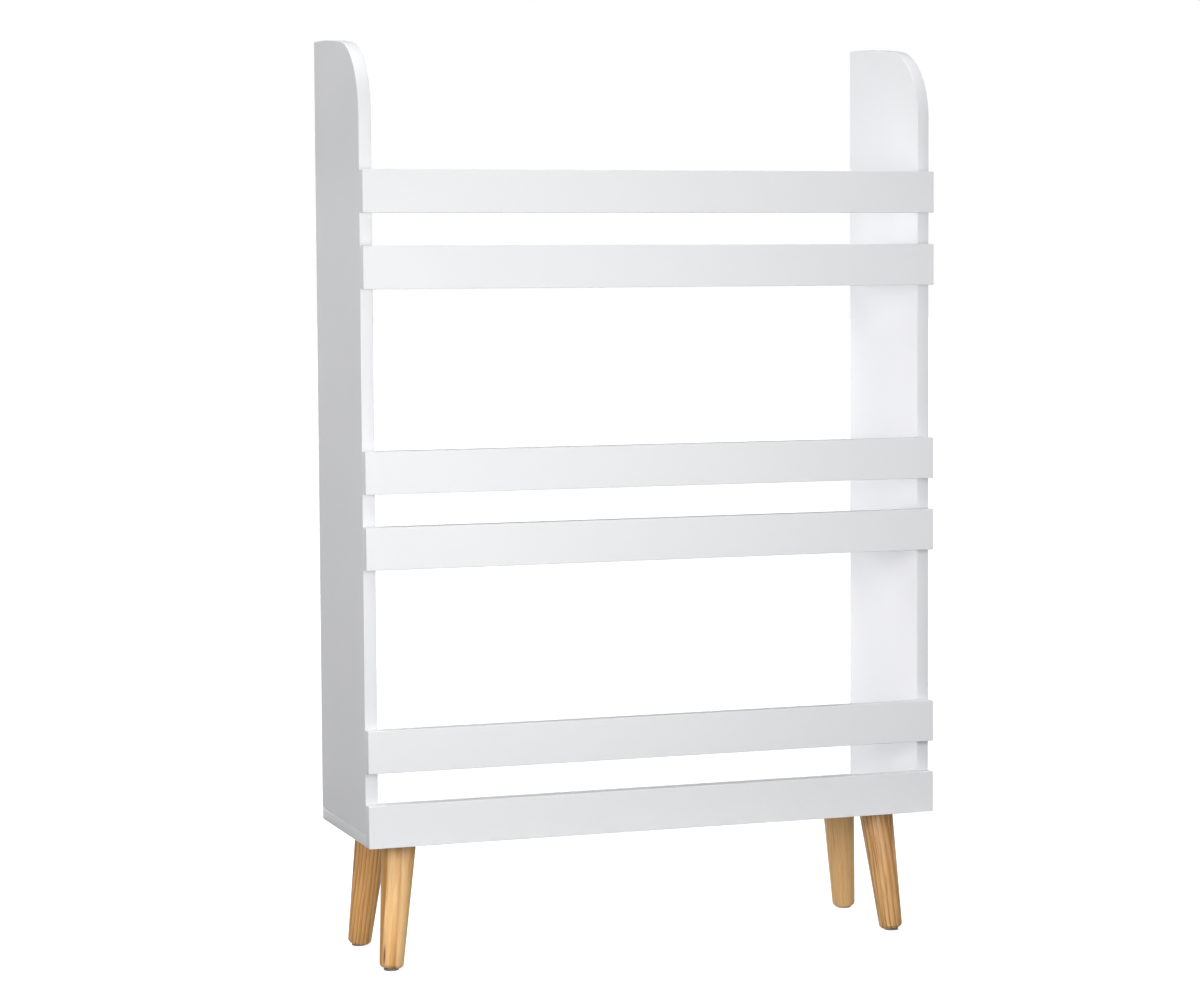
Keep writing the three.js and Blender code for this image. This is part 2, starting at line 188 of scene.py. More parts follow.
def rounded_profile(points, radius):
    """A profile whose corners, apart from the first and last points, are rounded."""
    steps = 4
    most = 0.45     # of the distance to the next corner
    rounded = [points[0]]
    for before, corner, after in zip(points, points[1:], points[2:]):
        here = Vector(corner)
        to_before = Vector(before) - here
        to_after = Vector(after) - here
        reach = min(radius, most * to_before.length, most * to_after.length)
        start = here + to_before.normalized() * reach
        end = here + to_after.normalized() * reach
        for step in range(steps + 1):
            t = step / steps
            rounded.append(tuple(start * (1 - t) ** 2 + here * 2 * t * (1 - t) + end * t ** 2))
    rounded.append(points[-1])
    return rounded


def facing(direction, turn=0.0):
    """A rotation that takes local +Z to a direction."""
    aim = Vector(direction).to_track_quat("Z", "Y").to_matrix().to_4x4()
    return aim @ Matrix.Rotation(turn, 4, "Z")


# ---------------------------------------------------------------- materials

class Nodes:
    """Adds shader nodes to a new material and wires them up."""

    def __init__(self, name):
        self.material = bpy.data.materials.new(name)
        self.material.use_nodes = True
        self.tree = self.material.node_tree
        self.shader = self.tree.nodes["Principled BSDF"]

    def add(self, kind, **settings):
        node = self.tree.nodes.new(kind)
        for name, value in settings.items():
            setattr(node, name, value)
        return node

    def wire(self, source, target):
        self.tree.links.new(source, target)

    def value(self, source, socket):
        """Wires a socket to another, or sets its number."""
        if isinstance(source, bpy.types.NodeSocket):
            self.wire(source, socket)
        else:
            socket.default_value = source

    def place(self):
        return self.add("ShaderNodeTexCoord").outputs["Object"]

    def mapped(self, vector, scale, location=(0, 0, 0)):
        node = self.add("ShaderNodeMapping")
        self.wire(vector, node.inputs["Vector"])
        node.inputs["Scale"].default_value = scale
        node.inputs["Location"].default_value = location
        return node.outputs["Vector"]

    def noise(self, vector, scale, detail, roughness=0.5):
        node = self.add("ShaderNodeTexNoise")
        self.wire(vector, node.inputs["Vector"])
        node.inputs["Scale"].default_value = scale
        node.inputs["Detail"].default_value = detail
        node.inputs["Roughness"].default_value = roughness
        return node.outputs["Fac"]

    def math(self, operation, first, second=0.0):
        node = self.add("ShaderNodeMath", operation=operation)
        self.value(first, node.inputs[0])
        self.value(second, node.inputs[1])
        return node.outputs[0]

    def span(self, source, low, high, new_low, new_high):
        node = self.add("ShaderNodeMapRange")
        self.value(source, node.inputs["Value"])
        node.inputs["From Min"].default_value = low
        node.inputs["From Max"].default_value = high
        node.inputs["To Min"].default_value = new_low
        node.inputs["To Max"].default_value = new_high
        return node.outputs["Result"]

    def mix(self, factor, first, second, blend="MIX"):
        node = self.add("ShaderNodeMix", data_type="RGBA", blend_type=blend)
        self.value(factor, node.inputs["Factor"])
        self.value(first, node.inputs[6])
        self.value(second, node.inputs[7])
        return node.outputs[2]

    def ramp(self, source, stops):
        node = self.add("ShaderNodeValToRGB")
        self.wire(source, node.inputs["Fac"])
        elements = node.color_ramp.elements
        while len(elements) < len(stops):
            elements.new(0.5)
        for element, (position, colour) in zip(elements, stops):
            element.position = position
            element.color = colour
        return node.outputs["Color"]

    def bump(self, height, distance, strength):
        node = self.add("ShaderNodeBump")
        self.wire(height, node.inputs["Height"])
        node.inputs["Distance"].default_value = distance
        node.inputs["Strength"].default_value = strength
        return node.outputs["Normal"]

    def finish(self, **inputs):
        for name, source in inputs.items():
            self.value(source, self.shader.inputs[name.replace("_", " ")])
        return self.material


def laminate():
    """White melamine, on the boards' faces and on their edge bands: a satin pearl texture, with
    faint clouding from the print and from handling."""
    n = Nodes("laminate_face")
    where = n.place()
    cloud = n.noise(where, 6, 4)
    speck = n.noise(where, 420, 2)
    base = n.mix(cloud, srgb(0.905, 0.908, 0.918), srgb(0.922, 0.923, 0.928))
    colour = n.mix(n.span(speck, 0.35, 0.65, 0.0, 0.05), base, srgb(0.86, 0.862, 0.87))
    pearl = n.noise(where, 1500, 2, 0.6)
    ripple = n.noise(where, 120, 2)
    height = n.math("ADD", n.math("MULTIPLY", pearl, 0.6), n.math("MULTIPLY", ripple, 0.4))
    rough = n.span(n.noise(where, 9, 5, 0.6), 0.3, 0.7, 0.40, 0.50)
    return n.finish(Base_Color=colour, Roughness=rough, Normal=n.bump(height, 0.00004, 0.5))


PINE_LIGHT = srgb(0.965, 0.845, 0.67)
PINE_EARLY = srgb(0.945, 0.77, 0.51)
PINE_LATE = srgb(0.79, 0.545, 0.265)
PINE_DARK = srgb(0.655, 0.415, 0.19)
RESIN = srgb(0.45, 0.215, 0.09)
WANDER = 5 * MM            # how much the rings stray along a leg
RING_BEND = 3 * MM         # and how much in shorter bends
STREAK_HALF_WIDTH = 1.6 * MM
STREAK_DEPTH = 4 * MM


def pine(name, axes, pith, spacing, calm, marks, tint, streak=None):
    """Clear-varnished pine. The growth rings lie about a pith line beside the leg, at pith (x, y)
    in the leg's own axes, whose Z runs along it. Calm wood shows its rings less, and marks are
    short dark lines. A streak is a resin pocket, as (x, y, z, half its length)."""
    n = Nodes(name)
    own = n.add("ShaderNodeMapping", vector_type="TEXTURE")
    n.wire(n.place(), own.inputs["Vector"])
    own.inputs["Location"].default_value = axes.to_translation()
    own.inputs["Rotation"].default_value = axes.to_euler()
    where = own.outputs["Vector"]
    wander = n.noise(n.mapped(where, (9, 9, 4.5), pith + (0,)), 1.0, 2)
    bend = n.noise(n.mapped(where, (34, 34, 9), (pith[1], 3.1, 0)), 1.0, 3)
    split = n.add("ShaderNodeSeparateXYZ")
    n.wire(where, split.inputs[0])
    across = n.math("SUBTRACT", split.outputs["X"], pith[0])
    through = n.math("SUBTRACT", split.outputs["Y"], pith[1])
    distance = n.math("SQRT", n.math("ADD", n.math("MULTIPLY", across, across),
                                     n.math("MULTIPLY", through, through)))
    shifted = distance
    for stray, amount in ((wander, WANDER), (bend, RING_BEND)):
        offset = n.math("MULTIPLY", n.math("SUBTRACT", stray, 0.5), amount)
        shifted = n.math("ADD", shifted, offset)
    year = n.math("FRACT", n.math("DIVIDE", shifted, spacing))
    rings = n.ramp(year, [(0.0, PINE_LIGHT), (0.42, PINE_EARLY), (0.70, PINE_LATE),
                          (0.86, PINE_DARK), (0.93, PINE_EARLY), (1.0, PINE_LIGHT)])
    fibre = n.noise(n.mapped(where, (1500, 1500, 26)), 1.0, 3, 0.65)
    lines = n.noise(n.mapped(where, (420, 420, 7), (5, 2, 1)), 1.0, 3)
    broken = n.noise(n.mapped(where, (95, 95, 11), (2, 7, 4)), 1.0, 2)
    faded = n.span(broken, 0.35, 0.65, calm, min(1.0, calm + 0.45))
    rings = n.mix(faded, rings, PINE_EARLY)
    grained = n.mix(n.span(fibre, 0.35, 0.75, 0.0, 0.30), rings, PINE_DARK)
    grained = n.mix(n.span(lines, 0.48, 0.66, 0.0, marks), grained, PINE_DARK)
    patch = n.noise(n.mapped(where, (28, 28, 10)), 1.0, 2)
    toned = n.mix(n.span(patch, 0.3, 0.7, 0.0, 0.35), grained, PINE_EARLY)
    colour = n.mix(1.0, toned, srgb(*tint), "MULTIPLY")
    if streak:
        x, y, z, length = streak
        narrow = n.mapped(where, (1 / STREAK_HALF_WIDTH, 1 / STREAK_DEPTH, 1 / length),
                          (-x / STREAK_HALF_WIDTH, -y / STREAK_DEPTH, -z / length))
        reach = n.add("ShaderNodeVectorMath", operation="LENGTH")
        n.wire(narrow, reach.inputs[0])
        ragged = n.math("ADD", reach.outputs["Value"], n.math("MULTIPLY", bend, 0.5))
        colour = n.mix(n.span(ragged, 0.75, 1.45, 0.85, 0.0), colour, RESIN)
    rough = n.span(fibre, 0.3, 0.7, 0.34, 0.46)
    height = n.math("ADD", n.math("MULTIPLY", fibre, 0.7), n.math("MULTIPLY", year, -0.3))
    n.shader.inputs["Coat Weight"].default_value = 0.35
    n.shader.inputs["Coat Roughness"].default_value = 0.22
    return n.finish(Base_Color=colour, Roughness=rough, Normal=n.bump(height, 0.00006, 0.6))


def zinc_plate(name, colour, roughness, grain_scale):
    """Dull zinc, whose tone and gloss vary a little."""
    n = Nodes(name)
    where = n.place()
    grain = n.noise(where, grain_scale, 4, 0.6)
    blotch = n.noise(where, 90, 3)
    tone = n.mix(blotch, srgb(*colour), srgb(*(0.88 * value for value in colour)))
    rough = n.span(grain, 0.3, 0.7, roughness - 0.08, roughness + 0.08)
    n.shader.inputs["Metallic"].default_value = 1.0
    return n.finish(Base_Color=tone, Roughness=rough, Normal=n.bump(grain, 0.00003, 0.6))


def felt_cloth():
    """Grey-brown pressed felt."""
    n = Nodes("felt")
    where = n.place()
    fibre = n.noise(n.mapped(where, (1, 1, 2)), 1800, 4, 0.7)
    colour = n.mix(fibre, srgb(0.40, 0.375, 0.345), srgb(0.56, 0.525, 0.49))
    n.shader.inputs["Sheen Weight"].default_value = 0.3
    n.shader.inputs["Sheen Roughness"].default_value = 0.5
    return n.finish(Base_Color=colour, Roughness=0.95, Normal=n.bump(fibre, 0.0003, 0.8))


LAMINATE = laminate()
STEEL = zinc_plate("zinc_plated_steel", (0.78, 0.79, 0.80), 0.34, 700)
CASTING = zinc_plate("zinc_casting", (0.68, 0.69, 0.70), 0.46, 1400)
FELT = felt_cloth()


# ---------------------------------------------------------------- boards

def arc(centre, radius, start, end, steps):
    """Points of an arc, each with its outward direction."""
    points = []
    for step in range(steps + 1):
        angle = math.radians(start + (end - start) * step / steps)
        out = Vector((math.cos(angle), math.sin(angle)))
        points.append((Vector(centre) + out * radius, out))
    return points


CORNER_STEPS = 4           # of a small corner radius
TOP_STEPS = 24
FRONT_CORNER_STEPS = 40
TOP_START = 90 + 0.2       # degrees; the top arc leaves room for the small corner behind it


def board_outline(low, high, r, arched=False):
    """A rectangle with small corner radii r, counter-clockwise, or a side panel's outline: its top
    edge is a wide arc, level at the back, that runs smoothly into the large front corner."""
    back_top = arc((high[0] - r, high[1] - r), r, 0, 90, CORNER_STEPS)
    front_bottom = arc((low[0] + r, low[1] + r), r, 180, 270, CORNER_STEPS)
    back_bottom = arc((high[0] - r, low[1] + r), r, 270, 360, CORNER_STEPS)
    if not arched:
        front_top = arc((low[0] + r, high[1] - r), r, 90, 180, CORNER_STEPS)
        return back_top + front_top + front_bottom + back_bottom
    between = TOP_RADIUS - CORNER_RADIUS
    front = low[0] + CORNER_RADIUS
    turn = math.asin((high[0] - front) / between)
    centre = high[1] - TOP_RADIUS
    level = 90 + math.degrees(turn)
    top = arc((high[0], centre), TOP_RADIUS, TOP_START, level, TOP_STEPS)
    corner = arc((front, centre + between * math.cos(turn)), CORNER_RADIUS, level, 180,
                 FRONT_CORNER_STEPS)
    return back_top + top[:-1] + corner + front_bottom + back_bottom


def slab(bm, outline, inset, low, high, bevel):
    """A solid of an outline drawn in by inset, from low to high, with small bevels."""
    levels = [(inset + bevel, low), (inset, low + bevel),
              (inset, high - bevel), (inset + bevel, high)]
    rings = [[bm.verts.new((*(point - out * back), w)) for point, out in outline]
             for back, w in levels]
    count = len(outline)
    for lower, upper in zip(rings, rings[1:]):
        for i in range(count):
            j = (i + 1) % count
            bm.faces.new((lower[i], lower[j], upper[j], upper[i]))
    bm.faces.new(list(reversed(rings[0])))
    bm.faces.new(rings[-1])


def close_ring(bm, sections):
    """Faces between closed sections that follow each other all the way round."""
    count = len(sections[0])
    for here, following in zip(sections, sections[1:] + sections[:1]):
        for i in range(count):
            j = (i + 1) % count
            bm.faces.new((here[i], here[j], following[j], following[i]))


def band_ring(bm, outline, thickness, band, r):
    """The edge band: a ring round the outline with trimmed, rounded edges of radius r."""
    turn = [(r * (1 - math.sin(math.radians(a))), r * (1 - math.cos(math.radians(a))))
            for a in (0, 22.5, 45, 67.5, 90)]
    section = [(band, SEAM), (band - SEAM, 0)]
    section += turn
    section += [(inset, thickness - w) for inset, w in reversed(turn)]
    section += [(band - SEAM, thickness), (band, thickness - SEAM)]
    rings = [[bm.verts.new((*(point - out * inset), w)) for inset, w in section]
             for point, out in outline]
    close_ring(bm, rings)


def board(name, node, low, high, thickness_axis, arched=False, pockets=(),
          band=BAND, band_round=BAND_ROUND):
    """A laminated board between two corners. Its outline lies across the thickness axis, and each
    pocket is (point, direction into the board, radius, depth)."""
    u, v = [axis for axis in range(3) if axis != thickness_axis]
    # A corner no wider than the band would cross itself when the outline is drawn in by the band.
    corner = max(OUTLINE_ROUND, band + 2 * SEAM)
    outline = board_outline((low[u], low[v]), (high[u], high[v]), corner, arched)
    thickness = high[thickness_axis] - low[thickness_axis]
    basis = Matrix.Identity(4)
    for column, axis in enumerate((u, v, thickness_axis)):
        for row in range(3):
            basis[row][column] = 1.0 if row == axis else 0.0
    basis[thickness_axis][3] = low[thickness_axis]

    def core(bm):
        slab(bm, outline, band, 0, thickness, SEAM)
        bmesh.ops.transform(bm, matrix=basis, verts=bm.verts)

    def edging(bm):
        band_ring(bm, outline, thickness, band, band_round)
        bmesh.ops.transform(bm, matrix=basis, verts=bm.verts)

    made = new_object(name, mesh_from(name, core))
    for point, direction, radius, depth in pockets:
        cut_away(made, pocket_mesh(point, direction, radius, depth))
    add_mesh(made, mesh_from(f"{name}_band", edging))
    made.data.materials.append(LAMINATE)
    piece(made, "white_laminate", node)


def pocket_mesh(point, direction, radius, depth):
    """A round pocket with a small chamfer at its mouth, as a cutter."""
    profile = [(0, -CUTTER_OUT), (radius + POCKET_CHAMFER + CUTTER_OUT, -CUTTER_OUT),
               (radius, POCKET_CHAMFER), (radius, depth), (0, depth)]
    matrix = Matrix.Translation(Vector(point)) @ facing(direction)
    return mesh_from("pocket", lambda bm: turned(bm, profile, 40, matrix))


def cad_middle(node):
    low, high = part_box(node)
    return (low + high) / 2


TIERS = ("bottom_tier", "middle_tier", "top_tier")
RAILS = [f"{tier}_{row}_rail" for tier in TIERS for row in ("lower", "upper")]
SIDES = (("left", -1), ("right", 1))
ROWS = (("front", -1), ("rear", 1))
SHELVES = ("middle_shelf", "top_shelf")


def rail_cam_place(rail, side, sign):
    """The middle of a rail's cam lock on the inner face of a side panel. The cam's back edge is the
    rearmost point of its node, whose bolt runs forwards."""
    low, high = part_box(f"{rail}_{side}_cam")
    inner = low.x if sign > 0 else high.x
    return Vector((inner, high.y - CAM_RADIUS, (low.z + high.z) / 2))


def shelf_cam_place(shelf, row, side):
    middle = cad_middle(f"{shelf}_{row}_{side}_cam")
    return Vector((middle.x, middle.y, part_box(shelf)[0].z))


def screw_place(row, side):
    middle = cad_middle(f"bottom_screw_{row}_{side}")
    return Vector((middle.x, middle.y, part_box(f"bottom_screw_{row}_{side}")[0].z))


def make_boards():
    for side, sign in SIDES:
        node = f"{side}_side_panel"
        low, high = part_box(node)
        pockets = [(rail_cam_place(rail, side, sign), (sign, 0, 0), CAM_POCKET_RADIUS, CAM_DEPTH)
                   for rail in RAILS]
        board(f"{side}_side_board", node, low, high, 0, True, pockets)

    for shelf in SHELVES:
        low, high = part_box(shelf)
        low.x, high.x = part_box("left_side_panel")[1].x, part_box("right_side_panel")[0].x
        pockets = [(shelf_cam_place(shelf, row, side), (0, 0, 1), CAM_POCKET_RADIUS, CAM_DEPTH)
                   for row, _ in ROWS for side, _ in SIDES]
        board(f"{shelf}_board", shelf, low, high, 2, False, pockets)

    low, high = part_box("bottom_panel")
    high.z = low.z + BOARD
    pockets = [(screw_place(row, side), (0, 0, 1), SCREW_POCKET_RADIUS, SCREW_POCKET_DEPTH)
               for row, _ in ROWS for side, _ in SIDES]
    board("bottom_board", "bottom_panel", low, high, 2, False, pockets,
          THICK_BAND, THICK_BAND_ROUND)

    for rail in RAILS:
        low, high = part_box(rail)
        high.y = low.y + BOARD
        board(f"{rail}_board", rail, low, high, 1)


# ---------------------------------------------------------------- fittings and screws

def bar(size, matrix):
    """A box mesh about the origin, as a cutter."""
    def build(bm):
        made = bmesh.ops.create_cube(bm, size=1.0)["verts"]
        bmesh.ops.scale(bm, vec=size, verts=made)
        bmesh.ops.transform(bm, matrix=matrix, verts=made)
    return mesh_from("bar", build)


def cross_recess(obj, reach, width, depth):
    """Cuts a cross into a screw's or a cam's face, with a cone in its middle."""
    for turn in (0, 90):
        matrix = Matrix.Rotation(math.radians(turn), 4, "Z")
        cut_away(obj, bar((2 * reach, width, 2 * depth), matrix))
    cone = [(0, -CUTTER_OUT), (1.15 * width, -CUTTER_OUT), (1.05 * width, 0.2 * depth),
            (0, 1.35 * depth)]
    cut_away(obj, mesh_from("cone", lambda bm: turned(bm, cone, 24)))


def cam_mesh():
    """A cam lock's face and body; local +Z runs into the board, and the bolt comes in along +X."""
    end = CAM_DEPTH - 0.3 * MM
    profile = rounded_profile([(0, CAM_SINK), (CAM_RADIUS, CAM_SINK), (CAM_RADIUS, end), (0, end)],
                              0.5 * MM)
    obj = new_object("cam", mesh_from("cam", lambda bm: turned(bm, profile, 48)))
    inner, outer, bottom = 4.6 * MM, 5.1 * MM, CAM_SINK + 0.25 * MM
    ring = [(inner, -CUTTER_OUT), (outer, -CUTTER_OUT), (outer, bottom), (inner, bottom)]
    cut_away(obj, mesh_from("ring", lambda bm: washer(bm, ring, 48)))
    cross_recess(obj, reach=3.4 * MM, width=1.1 * MM, depth=3.0 * MM)

    def arrow(bm):
        """A small arrowhead that shows where the bolt comes in."""
        corners = [(6.7, 0), (5.4, 0.9), (5.4, -0.9)]
        lower = [bm.verts.new((x * MM, y * MM, -CUTTER_OUT)) for x, y in corners]
        upper = [bm.verts.new((x * MM, y * MM, CAM_SINK + 0.3 * MM)) for x, y in corners]
        bm.faces.new(lower)
        bm.faces.new(upper)
        for i in range(3):
            j = (i + 1) % 3
            bm.faces.new((lower[i], lower[j], upper[j], upper[i]))

    cut_away(obj, mesh_from("arrow", arrow))
    return shared_mesh(obj, CASTING)


def washer(bm, section, steps):
    """A ring of a closed [radius, z] section about the local Z axis."""
    rings = []
    for step in range(steps):
        angle = 2 * math.pi * step / steps
        rings.append([bm.verts.new((r * math.cos(angle), r * math.sin(angle), z))
                      for r, z in section])
    close_ring(bm, rings)


def countersunk_mesh():
    """A 3.5 mm countersunk screw with a cross recess; local +Z runs into the wood."""
    face, neck, thread_start, tip = 0.05 * MM, 1.7 * MM, 3.2 * MM, 13.5 * MM
    root, crest = 1.25 * MM, 1.75 * MM
    turns, pitch = 5, 1.6 * MM
    profile = [(0, face), (3.1 * MM, face), (3.4 * MM, 0.3 * MM), (neck, 2.0 * MM),
               (neck, thread_start)]
    for turn in range(turns):
        z = thread_start + turn * pitch
        profile += [(root, z + 0.3 * MM), (crest, z + 0.8 * MM), (root, z + 1.3 * MM)]
    profile += [(0, tip)]
    obj = new_object("screw", mesh_from("screw", lambda bm: turned(bm, profile, 28)))
    cross_recess(obj, reach=1.75 * MM, width=0.75 * MM, depth=1.4 * MM)
    return shared_mesh(obj, STEEL)


def confirmat_mesh():
    """A 7 x 50 mm confirmat screw with a hexagon socket; local +Z runs into the board."""
    face, head, tip = 0.15 * MM, 5.0 * MM, 49.5 * MM
    root, crest = 2.3 * MM, 3.4 * MM
    turns, pitch, thread_start = 11, 3 * MM, 13.5 * MM
    profile = [(0, face), (4.7 * MM, face), (head, 0.5 * MM), (head, 0.9 * MM),
               (crest, 3.0 * MM), (crest, 13 * MM)]
    for turn in range(turns):
        z = thread_start + turn * pitch
        profile += [(root, z), (crest, z + 1.2 * MM), (crest, z + 1.5 * MM), (root, z + 2.5 * MM)]
    profile += [(0, tip)]
    obj = new_object("confirmat", mesh_from("confirmat", lambda bm: turned(bm, profile, 32)))
    socket_radius = 2.3 * MM
    socket = [(0, -CUTTER_OUT), (socket_radius, -CUTTER_OUT), (socket_radius, 2.6 * MM),
              (0, 3.4 * MM)]
    cut_away(obj, mesh_from("socket", lambda bm: turned(bm, socket, 6)))
    return shared_mesh(obj, STEEL)


def place_cam(node, cam, place, bolt_side, into_board):
    obj = new_object(f"{node}_lock", cam)
    obj.matrix_world = Matrix.Translation(place) @ basis_from(bolt_side, into_board)
    piece(obj, "zinc_casting", node)


def make_fittings():
    cam = cam_mesh()
    for side, sign in SIDES:
        for rail in RAILS:
            node = f"{rail}_{side}_cam"
            place_cam(node, cam, rail_cam_place(rail, side, sign), (0, -1, 0), (sign, 0, 0))
        for shelf in SHELVES:
            for row, _ in ROWS:
                node = f"{shelf}_{row}_{side}_cam"
                place_cam(node, cam, shelf_cam_place(shelf, row, side), (sign, 0, 0), (0, 0, 1))
    screw = confirmat_mesh()
    for side, _ in SIDES:
        for row, _ in ROWS:
            obj = new_object(f"confirmat_{row}_{side}", screw)
            obj.matrix_world = Matrix.Translation(screw_place(row, side))
            piece(obj, "steel", f"bottom_screw_{row}_{side}")


def basis_from(x_axis, z_axis):
    """A rotation whose local +X and +Z lie along two perpendicular directions."""
    x, z = Vector(x_axis), Vector(z_axis)
    return Matrix((x, z.cross(x), z)).transposed().to_4x4()


# ---------------------------------------------------------------- legs

def leg_axis(sign, row_sign):
    """Down along a leg, which leans outwards along the diagonal of its corner."""
    splay = math.sin(LEG_TILT) / math.sqrt(2)
    return Vector((sign * splay, row_sign * splay, -math.cos(LEG_TILT)))


def leg_mount(node):
    """Where the leg's axis meets the underside of the bottom panel."""
    low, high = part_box(f"{node}_plate")
    return Vector(((low.x + high.x) / 2, (low.y + high.y) / 2, high.z))


def leg_length(node, mount):
    """Along the axis, from the underside of the panel to the middle of the leg's end."""
    rim = (LEG_END_RADIUS - LEG_END_CHAMFER) * math.sin(LEG_TILT)
    end_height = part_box(node)[0].z + rim
    return (mount.z - end_height) / math.cos(LEG_TILT)


def make_leg(node, mount, axes, material):
    length = leg_length(node, mount)
    top = BOSS_DROP + 0.3 * MM
    profile = rounded_profile([
        (0, top),
        (LEG_TOP_RADIUS - 1 * MM, top),
        (LEG_TOP_RADIUS, top + 1 * MM),
        (LEG_END_RADIUS, length - LEG_END_CHAMFER),
        (LEG_END_RADIUS - LEG_END_CHAMFER, length),
        (0, length),
    ], 0.9 * MM)
    mesh = mesh_from(node, lambda bm: turned(bm, profile, 96, axes), smooth_angle=60)
    obj = new_object(f"{node}_turned", mesh)
    obj.data.materials.append(material)
    piece(obj, "pine", node)


def make_glide(node, mount, axis):
    """Felt pressed into a wedge: it follows the leg's square end above and the level floor
    below."""
    start = leg_length(node, mount) + 0.1 * MM
    end = start + 8 * MM
    edge = 0.35 * MM
    profile = rounded_profile([(0, start), (GLIDE_RADIUS, start), (GLIDE_RADIUS, end), (0, end)],
                              edge)
    rows = [(share * GLIDE_RADIUS, start) for share in (0.3, 0.6, 0.85)]
    profile = profile[:1] + rows + profile[1:]
    turn = Matrix.Translation(mount) @ facing(axis)

    def build(bm):
        made = turned(bm, profile, 72)
        for vert in made:
            fuzz = noise.noise(Vector((vert.co.x, vert.co.y, vert.co.z)) * 1400) * 0.16 * MM
            flat = Vector((vert.co.x, vert.co.y, 0))
            if flat.length > 0.9 * GLIDE_RADIUS:
                vert.co += flat.normalized() * (fuzz - 0.12 * MM)
        bmesh.ops.transform(bm, matrix=turn, verts=made)
        for vert in made:
            if vert.co.z < FLOOR_GAP:
                back = (FLOOR_GAP - vert.co.z) / -axis.z
                vert.co -= axis * back
        bmesh.ops.remove_doubles(bm, verts=bm.verts, dist=1e-6)

    obj = new_object(f"{node}_glide", mesh_from(f"{node}_glide", build, smooth_angle=50))
    obj.data.materials.append(FELT)
    piece(obj, "felt", f"{node}_felt_glide")


def make_plate(node, mount, axis, screw):
    """A pressed plate with a round boss that points down the leg, and its four screws."""
    low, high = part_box(f"{node}_plate")
    half = (high.x - low.x) / 2
    corner = 8 * MM
    outline = (arc((half - corner, half - corner), corner, 0, 90, 10)
               + arc((corner - half, half - corner), corner, 90, 180, 10)
               + arc((corner - half, corner - half), corner, 180, 270, 10)
               + arc((half - corner, corner - half), corner, 270, 360, 10))
    flange = new_object(f"{node}_plate_steel", mesh_from("flange", lambda bm: slab(
        bm, outline, 0, -PLATE_THICKNESS, -PLATE_GAP, 0.5 * MM)))
    offsets = [(x, y) for x in (-PLATE_SCREW_OFFSET, PLATE_SCREW_OFFSET)
               for y in (-PLATE_SCREW_OFFSET, PLATE_SCREW_OFFSET)]
    below, hole = -PLATE_THICKNESS - CUTTER_OUT, 1.85 * MM
    sink = [(0, below), (4.6 * MM, below), (3.65 * MM, -PLATE_THICKNESS + 0.02 * MM),
            (hole, -0.6 * MM), (hole, CUTTER_OUT), (0, CUTTER_OUT)]
    for x, y in offsets:
        matrix = Matrix.Translation((x, y, 0)) @ facing((0, 0, 1))
        cut_away(flange, mesh_from("sink", lambda bm: turned(bm, sink, 32, matrix)))

    boss_start, boss_radius = 1.5 * MM, 18 * MM
    boss = rounded_profile([(0, boss_start), (20 * MM, boss_start), (boss_radius, 4.6 * MM),
                            (boss_radius, BOSS_DROP), (0, BOSS_DROP)], 1.4 * MM)
    add_mesh(flange, mesh_from("boss", lambda bm: turned(bm, boss, 64, facing(axis))))
    flange.data.materials.append(STEEL)
    flange.location = mount
    piece(flange, "steel", f"{node}_plate")

    for index, (x, y) in enumerate(offsets):
        obj = new_object(f"{node}_plate_screw_{index + 1}", screw)
        slot_angle = math.radians(37 * index + 11)   # no two screws were driven alike
        obj.matrix_world = (Matrix.Translation(mount + Vector((x, y, -PLATE_THICKNESS)))
                            @ Matrix.Rotation(slot_angle, 4, "Z"))
        piece(obj, "steel")


def make_legs():
    """Each leg is turned from its own piece of pine, so each shows its rings differently."""
    woods = {
        "front_left_leg": dict(pith=(-0.0768, 0.004), spacing=0.017, calm=0.0, marks=0.25,
                               tint=(1.0, 0.985, 0.95), turn=-26,
                               streak=(-0.0084, 0.0118, 0.1375, 0.0135)),
        "rear_left_leg": dict(pith=(-0.085, 0.012), spacing=0.0046, calm=0.05, marks=0.45,
                              tint=(0.98, 0.92, 0.83), turn=-116),
        "front_right_leg": dict(pith=(-0.072, -0.014), spacing=0.0056, calm=0.0, marks=0.85,
                                tint=(0.94, 0.91, 0.875), turn=64),
        "rear_right_leg": dict(pith=(-0.090, 0.020), spacing=0.0026, calm=0.6, marks=0.25,
                               tint=(1.0, 1.0, 1.0), turn=154),
    }
    screw = countersunk_mesh()
    for side, sign in SIDES:
        for row, row_sign in ROWS:
            node = f"{row}_{side}_leg"
            mount = leg_mount(node)
            axis = leg_axis(sign, row_sign)
            wood = woods[node]
            axes = Matrix.Translation(mount) @ facing(axis, math.radians(wood["turn"]))
            material = pine(f"pine_{row}_{side}", axes, wood["pith"], wood["spacing"], wood["calm"],
                            wood["marks"], wood["tint"], wood.get("streak"))
            make_leg(node, mount, axes, material)
            make_glide(node, mount, axis)
            make_plate(node, mount, axis, screw)


def finish_hidden_nodes():
    """Cam bolts and hanger bolts keep their CAD shapes."""
    for name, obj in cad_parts.items():
        if name.endswith("_bolt"):
            obj.data.materials.clear()
            obj.data.materials.append(STEEL)


# ---------------------------------------------------------------- stage, light and camera

FLOOR_BOUNCE = 0.31        # the light that comes up to the bookcase from a pale floor
CEILING = 1.2              # the light that comes down from a pale ceiling
HORIZON = 0.02             # the floor's light begins this far above and below the horizon
CEILING_EDGE = (0.5, 0.85)  # and the ceiling's between these, all as the Z of a direction
FLOOR_HALF = 40.0
GLOW_NEAR, GLOW_FAR = 1.0, 3.5      # the floor runs out to white between these distances
GLOW_START = 0.90

